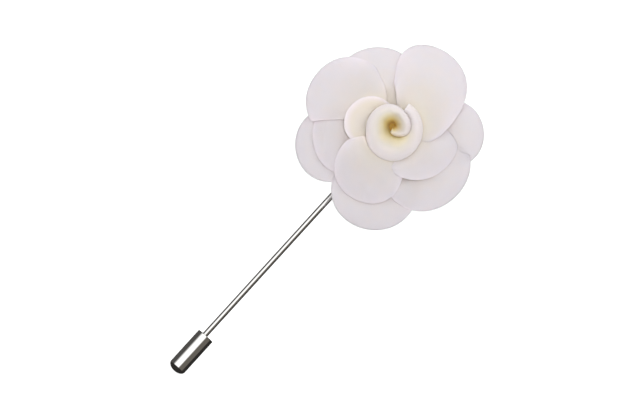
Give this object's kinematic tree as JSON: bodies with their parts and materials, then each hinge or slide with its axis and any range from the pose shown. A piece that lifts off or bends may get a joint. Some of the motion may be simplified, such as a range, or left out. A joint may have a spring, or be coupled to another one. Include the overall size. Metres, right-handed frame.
{
  "type": "fabric flower lapel pin",
  "caption": "Lapel pin: a white cloth camellia of layered petals round a rolled bud, on a straight stick pin whose point is covered by a pull-off bullet cap.",
  "frame": {"origin": "centre of the felt backing's flat back face, which lies against the lapel", "axes": "+Z out of the lapel, the way the flower opens; the needle runs along -Y from the flower to the cap"},
  "size_m": [0.0452, 0.1008, 0.0161],
  "materials": {
    "petal_cloth": "matte woven cloth, pinkish lavender white",
    "bud_cloth": "matte woven cloth, cream, golden in the hole",
    "felt": "matte felt, off-white",
    "pad_metal": "satin",
    "polished_steel": "mirror polished",
    "liner_plastic": "matte, soft"
  },
  "bodies": {
    "flower_pin": {"felt_backing": "felt", "pin_pad": "pad_metal", "petals_outer": "petal_cloth", "petals_middle": "petal_cloth", "petal_inner": "petal_cloth", "bud": "bud_cloth", "needle": "polished_steel"},
    "end_cap": {"cap_shell": "polished_steel", "cap_liner": "liner_plastic"}
  },
  "joints": [
    {"name": "cap_pull", "type": "slide", "parent": "flower_pin", "child": "end_cap", "axis": [0, -1, 0], "range_m": [0, 0.012]}
  ]
}
